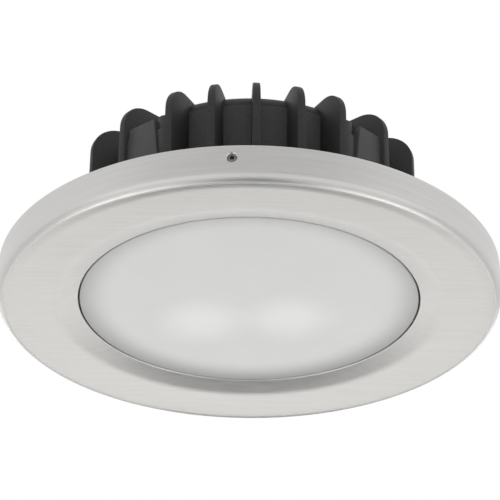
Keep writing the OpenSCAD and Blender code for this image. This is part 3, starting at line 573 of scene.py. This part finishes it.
def draw_outline(name, points, closed):
    """An edge loop through (radius, height) points in mm, in the XZ plane."""
    deselect_all()
    start = (points[0][0] * MM, 0, points[0][1] * MM)
    bpy.ops.mesh.primitive_plane_add(size=MM, location=start)
    piece = bpy.context.active_object
    piece.name = name
    bpy.ops.object.mode_set(mode="EDIT")
    bpy.ops.mesh.select_mode(type="VERT")
    bpy.ops.mesh.select_all(action="SELECT")
    bpy.ops.mesh.merge(type="CENTER")
    path = points + [points[0]] if closed else points
    for (r0, z0), (r1, z1) in zip(path, path[1:]):
        bpy.ops.mesh.extrude_region_move(
            TRANSFORM_OT_translate={"value": ((r1 - r0) * MM, 0, (z1 - z0) * MM)})
    bpy.ops.mesh.select_all(action="SELECT")
    bpy.ops.mesh.remove_doubles(threshold=0.0005 * MM)
    bpy.ops.object.mode_set(mode="OBJECT")
    return settle(piece)


print("outlines can be drawn")

# %% Spin
SMOOTH_BELOW = math.radians(30)


def smooth(piece):
    """Shades a piece smooth where its faces meet at less than SMOOTH_BELOW."""
    take(piece)
    bpy.ops.object.shade_smooth_by_angle(angle=SMOOTH_BELOW)


def spin_piece(name, points, steps, closed=True):
    """Spins an outline round Z into a closed turned piece."""
    piece = draw_outline(name, points, closed)
    bpy.ops.object.mode_set(mode="EDIT")
    bpy.ops.mesh.select_all(action="SELECT")
    bpy.ops.mesh.spin(steps=steps, angle=2 * math.pi, center=(0, 0, 0), axis=(0, 0, 1))
    bpy.ops.mesh.select_all(action="SELECT")
    bpy.ops.mesh.remove_doubles(threshold=0.002 * MM)
    bpy.ops.mesh.normals_make_consistent(inside=False)
    bpy.ops.object.mode_set(mode="OBJECT")
    smooth(piece)
    print(name, len(piece.data.polygons), "faces")
    return piece


print("outlines can be spun")

# %% [markdown]
# Three more tools serve all pieces: a modifier that is added, set and applied at once, a cut of
# one closed piece out of another, and a join of several pieces into one.

# %% Modifiers, cuts and joins


def apply_modifier(piece, kind, **settings):
    """Adds a modifier, sets it and applies it."""
    take(piece)
    modifier = piece.modifiers.new(kind.lower(), kind)
    for key, value in settings.items():
        setattr(modifier, key, value)
    bpy.ops.object.modifier_apply(modifier=modifier.name)


def cut_away(piece, cutter):
    """Takes one closed piece out of another and deletes the cutter."""
    apply_modifier(piece, "BOOLEAN", operation="DIFFERENCE", solver="EXACT", object=cutter)
    bpy.data.objects.remove(cutter)


def join_pieces(name, pieces):
    """Joins pieces into one object."""
    take(pieces[0])
    for other in pieces[1:]:
        other.select_set(True)
    bpy.ops.object.join()
    pieces[0].name = name
    return pieces[0]


print("modelling helpers ready")

# %% [markdown]
# ## Cover ring
# The real ring is pressed from stainless sheet: a straight wall, a rounded bead, a small rolled
# nose, a narrow flank, the flat face and a shallow bevel down to the opening's lip. It could be a
# torus and some rings put together, but one outline keeps the sheet's thickness and lets each bend
# run into the next. The sheet's edges are slightly broken, so that they catch the light.

# %% Cover ring sizes
RIM_R = 75.0
SHEET = 1.6
WALL_H = 8.4
FACE_Z = -10.52
BEAD_R = 3.5
BEAD_TURN = 50
NOSE_R = 0.6
NOSE_BREAK = 10
NOSE_TURN = 140
FLANK_W = 3.6
OPENING_R = 51.0
BEVEL_W = 6.6
BEVEL_ANGLE = 16.0
BEVEL_SOFT = 1.6
LIP_R = 0.5
EDGE_R = 0.5

bead_centre = (RIM_R - BEAD_R, -WALL_H)
nose_centre = arc(bead_centre, BEAD_R - NOSE_R, -BEAD_TURN, -BEAD_TURN, 1)[0]
crease = arc(nose_centre, NOSE_R, -NOSE_TURN, -NOSE_TURN, 1)[0]
flank_h = FACE_Z - crease[1]
flank_in_r = crease[0] - FLANK_W
flank_r = (FLANK_W ** 2 + flank_h ** 2) / (2 * flank_h)
flank_turn = math.degrees(math.asin(FLANK_W / flank_r))
bevel_slope = math.radians(BEVEL_ANGLE)
bevel_out_r = OPENING_R + BEVEL_W
bevel_in_r = OPENING_R + LIP_R * (1 - math.sin(bevel_slope))
lip_z = FACE_Z + (bevel_out_r - bevel_in_r) * math.tan(bevel_slope)
lip_centre = (OPENING_R + LIP_R, lip_z + LIP_R * math.cos(bevel_slope))
soft_r = BEVEL_SOFT / math.tan(bevel_slope / 2)
print("face at", FACE_Z, "mm, lip at", round(lip_z, 2), "mm, crease", round(flank_h, 2), "mm lower")

# %% Cover ring outline
cover_outline = (
    arc((RIM_R - EDGE_R, -EDGE_R), EDGE_R, 90, 0, 6)
    + arc(bead_centre, BEAD_R, 0, -BEAD_TURN, 18)
    + arc(nose_centre, NOSE_R, -BEAD_TURN - NOSE_BREAK, -NOSE_TURN, 10)
    + arc((flank_in_r, FACE_Z - flank_r), flank_r, 90 - flank_turn, 90, 10)
    + arc((bevel_out_r + BEVEL_SOFT, FACE_Z + soft_r), soft_r, -90, -90 - BEVEL_ANGLE, 8)
    + arc(lip_centre, LIP_R, -90 - BEVEL_ANGLE, -180, 6)
    + [(OPENING_R, lip_z + SHEET), (bevel_out_r, FACE_Z + SHEET), (flank_in_r, FACE_Z + SHEET)]
    + arc(bead_centre, BEAD_R - SHEET, -45, 0, 8)
    + arc((RIM_R - SHEET + EDGE_R, -EDGE_R), EDGE_R, 180, 90, 4)
)
cover_ring = spin_piece("cover_ring", cover_outline, steps=256)

# %% [markdown]
# Three grub screws lock the ring, and each has a hole through the side wall with a broken edge, as
# a drill and a countersink leave it. A painted dot would do from afar, but the screw has to show
# in its hole. A cylinder cuts the hole and a cone its edge, one boolean each.

# %% Grub screw holes
GRUB_AZIMUTHS = (-5.7, 114.3, 234.3)
GRUB_DROP = 3.9
GRUB_HOLE_R = 1.3
GRUB_HOLE_DEPTH = 6
GRUB_CHAMFER = 0.35
HOLE_SIDES = 48


def at_azimuth(piece, azimuth):
    """Turns a piece made at azimuth 0, on the -Y side, round Z."""
    piece.rotation_euler = (0, 0, math.radians(azimuth))
    return settle(piece)


for azimuth in GRUB_AZIMUTHS:
    deselect_all()
    bpy.ops.mesh.primitive_cylinder_add(vertices=HOLE_SIDES, radius=GRUB_HOLE_R * MM,
                                        depth=GRUB_HOLE_DEPTH * MM,
                                        location=(0, -RIM_R * MM, -GRUB_DROP * MM),
                                        rotation=(math.pi / 2, 0, 0))
    cut_away(cover_ring, at_azimuth(settle(bpy.context.active_object), azimuth))
    deselect_all()
    bpy.ops.mesh.primitive_cone_add(vertices=HOLE_SIDES,
                                    radius1=(GRUB_HOLE_R + 2 * GRUB_CHAMFER) * MM,
                                    radius2=GRUB_HOLE_R * MM, depth=2 * GRUB_CHAMFER * MM,
                                    location=(0, -RIM_R * MM, -GRUB_DROP * MM),
                                    rotation=(-math.pi / 2, 0, 0))
    cut_away(cover_ring, at_azimuth(settle(bpy.context.active_object), azimuth))
smooth(cover_ring)
print("cover ring has", len(cover_ring.data.polygons), "faces after the holes")

# %% [markdown]
# On the real ring the straight strokes end at the crease, where the rim's own brushing begins. One
# pattern could blend into the other, but a change of tool leaves a sharp border, so each face
# simply gets the finish of its side of the crease.

# %% Two brushings on one ring
CREASE_MARGIN = 0.05

cover_ring.data.materials.clear()
cover_ring.data.materials.append(straight_brushed)
cover_ring.data.materials.append(round_brushed)
for face in cover_ring.data.polygons:
    radius = math.hypot(face.center.x, face.center.y) / MM
    face.material_index = 1 if radius > crease[0] - CREASE_MARGIN else 0
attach(cover_ring, "cover")
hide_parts("trim_cover")
print("cover ring dressed, border at", round(crease[0], 2), "mm")

# %% [markdown]
# ## Opal face
# The opal moulding is a shallow dish: nearly flat in the middle, rolling up towards its edge, with
# a flange that the retaining ring clamps. A scaled sphere is too round and a flat disc too flat. A
# crown that follows the fourth power of the radius has the look of the real one, and is spun like
# the ring.

# %% Opal face
OPAL_R = 50.6
OPAL_T = 2.0
OPAL_EDGE_DROP = 8.6
OPAL_CROWN = 1.3
OPAL_CORNER = 0.4
OPAL_FLANGE_R = 53.7
FLANGE_TOP = -2.4
FLANGE_BOTTOM = -4.4
CROWN_RINGS = 36


def crown_line(reach, lift):
    """Points of the crown from the middle out to reach, lifted by lift."""
    radii = [reach * i / CROWN_RINGS for i in range(CROWN_RINGS + 1)]
    return [(r, -OPAL_EDGE_DROP - OPAL_CROWN * (1 - (r / OPAL_R) ** 4) + lift) for r in radii]


outer_line = crown_line(OPAL_R - OPAL_CORNER, 0.0)
inner_line = crown_line(OPAL_R - OPAL_T, OPAL_T)
edge_r, edge_z = outer_line[-1]
opal_outline = (
    outer_line
    + arc((edge_r, edge_z + OPAL_CORNER), OPAL_CORNER, -70, 0, 6)
    + [(OPAL_R, FLANGE_BOTTOM), (OPAL_FLANGE_R, FLANGE_BOTTOM), (OPAL_FLANGE_R, FLANGE_TOP),
       (OPAL_R - OPAL_T, FLANGE_TOP)]
    + inner_line[-2::-1]
)
opal_face = spin_piece("opal_face", opal_outline, steps=192, closed=False)
opal_face.data.materials.append(opal_plastic)
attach(opal_face, "lamp_body")
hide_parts("diffuser")
print("opal edge", round(edge_z - FACE_Z, 2), "mm behind the ring's face")

# %% [markdown]
# ## Cast body
# The heat sink is one casting. Its drum is a turned shape with a skirt at its foot and a rounded
# shoulder, hollow for the light board below and for the driver above. A cylinder with bevels would
# look the same from outside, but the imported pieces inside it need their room, so it is an outline
# too.

# %% Drum
HUB_R = 53.4
DRUM_R = 42.0
SHOULDER_R = 5.6
SINK_H = 39.8
BASE_Z = 1.0
SKIRT_Z = 13.0
SKIRT_CHAMFER = 1.0
SKIRT_FILLET = 0.6
LIGHT_BAY_R, LIGHT_BAY_Z = 43.2, 9.4
LEAD_HOLE_R = 4.05
DRIVER_BAY_R, DRIVER_BAY_Z = 30.0, 15.4
GASKET_SEAT_R, GASKET_SEAT_Z = 31.8, 35.8
COVER_SEAT_R, COVER_SEAT_Z = 36.3, 36.8
RIM_TOP_R, RIM_TOP_DROP = 36.35, 0.05

drum_outline = (
    [(LIGHT_BAY_R, BASE_Z), (HUB_R, BASE_Z), (HUB_R, SKIRT_Z - SKIRT_CHAMFER),
     (HUB_R - SKIRT_CHAMFER, SKIRT_Z), (DRUM_R + SKIRT_FILLET, SKIRT_Z)]
    + arc((DRUM_R + SKIRT_FILLET, SKIRT_Z + SKIRT_FILLET), SKIRT_FILLET, -90, -180, 3)
    + arc((DRUM_R - SHOULDER_R, SINK_H - SHOULDER_R), SHOULDER_R, 0, 88, 12)
    + [(RIM_TOP_R, SINK_H - RIM_TOP_DROP), (COVER_SEAT_R, COVER_SEAT_Z),
       (GASKET_SEAT_R, COVER_SEAT_Z), (GASKET_SEAT_R, GASKET_SEAT_Z),
       (DRIVER_BAY_R, GASKET_SEAT_Z), (DRIVER_BAY_R, DRIVER_BAY_Z),
       (LEAD_HOLE_R, DRIVER_BAY_Z), (LEAD_HOLE_R, LIGHT_BAY_Z), (LIGHT_BAY_R, LIGHT_BAY_Z)]
)
drum = spin_piece("drum", drum_outline, steps=160)

# %% [markdown]
# Four lugs stand between the fins, where such a lamp can carry spring clips. A lug is a wedge with
# a flat outer face, wider at its foot so that it leaves the mould. It could be drawn and extruded,
# but a cube is quicker: it is stretched to the lug's height, its top face is scaled in for the
# draft, and a bevel softens its edges. One is modelled and the others are copies of it, each with
# its own mesh.

# %% Picking, softening and copying
CAST_EDGE = 0.35


def pick_faces(piece, test):
    """Selects the faces whose centre passes the test and leaves edit mode on."""
    take(piece)
    bpy.ops.object.mode_set(mode="EDIT")
    bpy.ops.mesh.select_mode(type="FACE")
    bpy.ops.mesh.select_all(action="DESELECT")
    bpy.ops.object.mode_set(mode="OBJECT")
    for face in piece.data.polygons:
        face.select = test(face.center)
    bpy.ops.object.mode_set(mode="EDIT")


def soften(piece, angle):
    """Bevels the edges whose faces meet at more than an angle in degrees."""
    apply_modifier(piece, "BEVEL", width=CAST_EDGE * MM, segments=2, limit_method="ANGLE",
                   angle_limit=math.radians(angle), use_clamp_overlap=True)


def copies_at(piece, azimuths):
    """Copies with their own meshes, turned round Z; the piece itself is deleted."""
    made = []
    for number, azimuth in enumerate(azimuths):
        copy = piece.copy()
        copy.data = piece.data.copy()
        copy.name = f"{piece.name}_{number}"
        bpy.context.collection.objects.link(copy)
        made.append(at_azimuth(copy, azimuth))
    bpy.data.objects.remove(piece)
    return made


print("cast edges are softened by", CAST_EDGE, "mm")

# %% Lugs
LUG_AZIMUTHS = (-40.4, 42.0, 139.6, 222.0)
LUG_ROOT = 38.0
LUG_REACH = 51.0
LUG_TOP_Z = 29.2
LUG_W = 9.5
LUG_DRAFT = math.radians(7.0)
TOP_MARGIN = 0.1

lug_height = LUG_TOP_Z - BASE_Z
foot_w = LUG_W + 2 * lug_height * math.tan(LUG_DRAFT)
deselect_all()
bpy.ops.mesh.primitive_cube_add(size=1.0, location=(0, -(LUG_REACH + LUG_ROOT) / 2 * MM,
                                                    (BASE_Z + lug_height / 2) * MM))
lug = bpy.context.active_object
lug.name = "lug"
lug.scale = (foot_w * MM, (LUG_REACH - LUG_ROOT) * MM, lug_height * MM)
settle(lug)
pick_faces(lug, lambda centre: centre.z > (LUG_TOP_Z - TOP_MARGIN) * MM)
bpy.ops.transform.resize(value=(LUG_W / foot_w, 1, 1))
bpy.ops.object.mode_set(mode="OBJECT")
soften(lug, 35.0)
lugs = copies_at(lug, LUG_AZIMUTHS)
print(len(lugs), "lugs,", round(foot_w, 1), "mm wide at the foot")

# %% [markdown]
# Beside each lug stands a small round pillar with a step near its top. It takes a screw from below.
# It could be two cylinders, but spun from an outline it gets its broken edges at once; it is made
# at the middle and then moved out to its place. The drum, the lugs and the pillars become one
# piece, because they are one casting. They pass through each other, as no seam is seen there.

# %% Pillars
PILLAR_AZIMUTHS = (-33.6, 33.6, 146.4, 213.6)
PILLAR_AT = 47.0
PILLAR_R = 3.3
PILLAR_TIP_R = 2.5
PILLAR_FOOT_Z = 10.0
PILLAR_STEP_Z = 26.0
PILLAR_TOP_Z = 31.0
PILLAR_CHAMFER = 0.3

pillar_outline = [
    (0.0, PILLAR_FOOT_Z), (PILLAR_R, PILLAR_FOOT_Z),
    (PILLAR_R, PILLAR_STEP_Z - PILLAR_CHAMFER), (PILLAR_R - PILLAR_CHAMFER, PILLAR_STEP_Z),
    (PILLAR_TIP_R, PILLAR_STEP_Z), (PILLAR_TIP_R, PILLAR_TOP_Z - PILLAR_CHAMFER),
    (PILLAR_TIP_R - PILLAR_CHAMFER, PILLAR_TOP_Z), (0.0, PILLAR_TOP_Z),
]
pillar = spin_piece("pillar", pillar_outline, steps=32, closed=False)
pillar.location = (0, -PILLAR_AT * MM, 0)
settle(pillar)
pillars = copies_at(pillar, PILLAR_AZIMUTHS)
print(len(pillars), "pillars")

# %% The whole casting
PAINTED_LIGHT_MARGIN = 0.5

cast_body = join_pieces("cast_body", [drum] + lugs + pillars)
smooth(cast_body)
cast_body.data.materials.clear()
cast_body.data.materials.append(black_coat)
cast_body.data.materials.append(painted_light_coat)
shoulder_foot = (SINK_H - SHOULDER_R + PAINTED_LIGHT_MARGIN) * MM
# painted light and shade: faces below the shoulder's foot get the lighter copy, the shoulder keeps
# the darker coat
for face in cast_body.data.polygons:
    face.material_index = 1 if face.center.z < shoulder_foot else 0
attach(cast_body, "lamp_body")
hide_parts("heat_sink")
print("cast body has", len(cast_body.data.polygons), "faces")

# %% [markdown]
# ## Fins
# The fins carry the heat away. Each is a thin wedge with a big round corner at its top, thicker at
# its foot for the mould's draft. A stretched cube has no round corner, so the side outline is
# drawn, filled and extruded, and every point is then moved in by its height. One fin is copied
# round the drum, in two equal halves, and the four at the sides are shorter.

# %% Fins
FIN_ROOT_R = 38.0
FIN_TIP_R = 52.6
FIN_CORNER_R = 9.0
FIN_ROOT_T = 3.1
FIN_TOP_T = 2.1
FIN_FOOT_Z = 12.2
FIN_AZIMUTHS = (-28.8, -14.4, 0, 14.4, 28.8, -47.6, -66.4, 47.6, 66.4)
HALVES = (0, 180)


def fin_plate(name, tip_r, corner_r):
    """A fin at azimuth 0: its outline in the YZ plane, extruded to its thickness and tapered."""
    outline = ([(FIN_ROOT_R, FIN_FOOT_Z), (tip_r, FIN_FOOT_Z)]
               + arc((tip_r - corner_r, SINK_H - corner_r), corner_r, 0, 90, 16)
               + [(FIN_ROOT_R, SINK_H)])
    plate = draw_outline(name, outline, True)
    plate.rotation_euler = (0, 0, -math.pi / 2)
    settle(plate)
    plate.location = (-FIN_ROOT_T / 2 * MM, 0, 0)
    settle(plate)
    bpy.ops.object.mode_set(mode="EDIT")
    bpy.ops.mesh.select_all(action="SELECT")
    bpy.ops.mesh.edge_face_add()
    bpy.ops.mesh.extrude_region_move(TRANSFORM_OT_translate={"value": (FIN_ROOT_T * MM, 0, 0)})
    bpy.ops.mesh.select_all(action="SELECT")
    bpy.ops.mesh.normals_make_consistent(inside=False)
    bpy.ops.object.mode_set(mode="OBJECT")
    for vertex in plate.data.vertices:
        thickness = FIN_ROOT_T + (FIN_TOP_T - FIN_ROOT_T) * vertex.co.z / MM / SINK_H
        vertex.co.x *= thickness / FIN_ROOT_T
    soften(plate, 50.0)
    return plate


fins = copies_at(fin_plate("fin", FIN_TIP_R, FIN_CORNER_R),
                 [half + azimuth for half in HALVES for azimuth in FIN_AZIMUTHS])
print(len(fins), "long fins")

# %% Side fins
SIDE_FIN_AZIMUTHS = (-82.2, 82.2, 97.8, 262.2)
SIDE_REACH = 47.5
SIDE_CORNER_R = 6.3

side_tip = SIDE_REACH / math.sin(math.radians(SIDE_FIN_AZIMUTHS[1]))
fins += copies_at(fin_plate("side_fin", side_tip, SIDE_CORNER_R), SIDE_FIN_AZIMUTHS)
print(len(fins), "fins with the short ones")

# %% All fins in one piece
cast_fins = join_pieces("cast_fins", fins)
smooth(cast_fins)
cast_fins.data.materials.clear()
cast_fins.data.materials.append(black_coat)
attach(cast_fins, "lamp_body")
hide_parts("cooling_fins")
print("fins have", len(cast_fins.data.polygons), "faces")

# %% Back to object mode
in_object_mode()
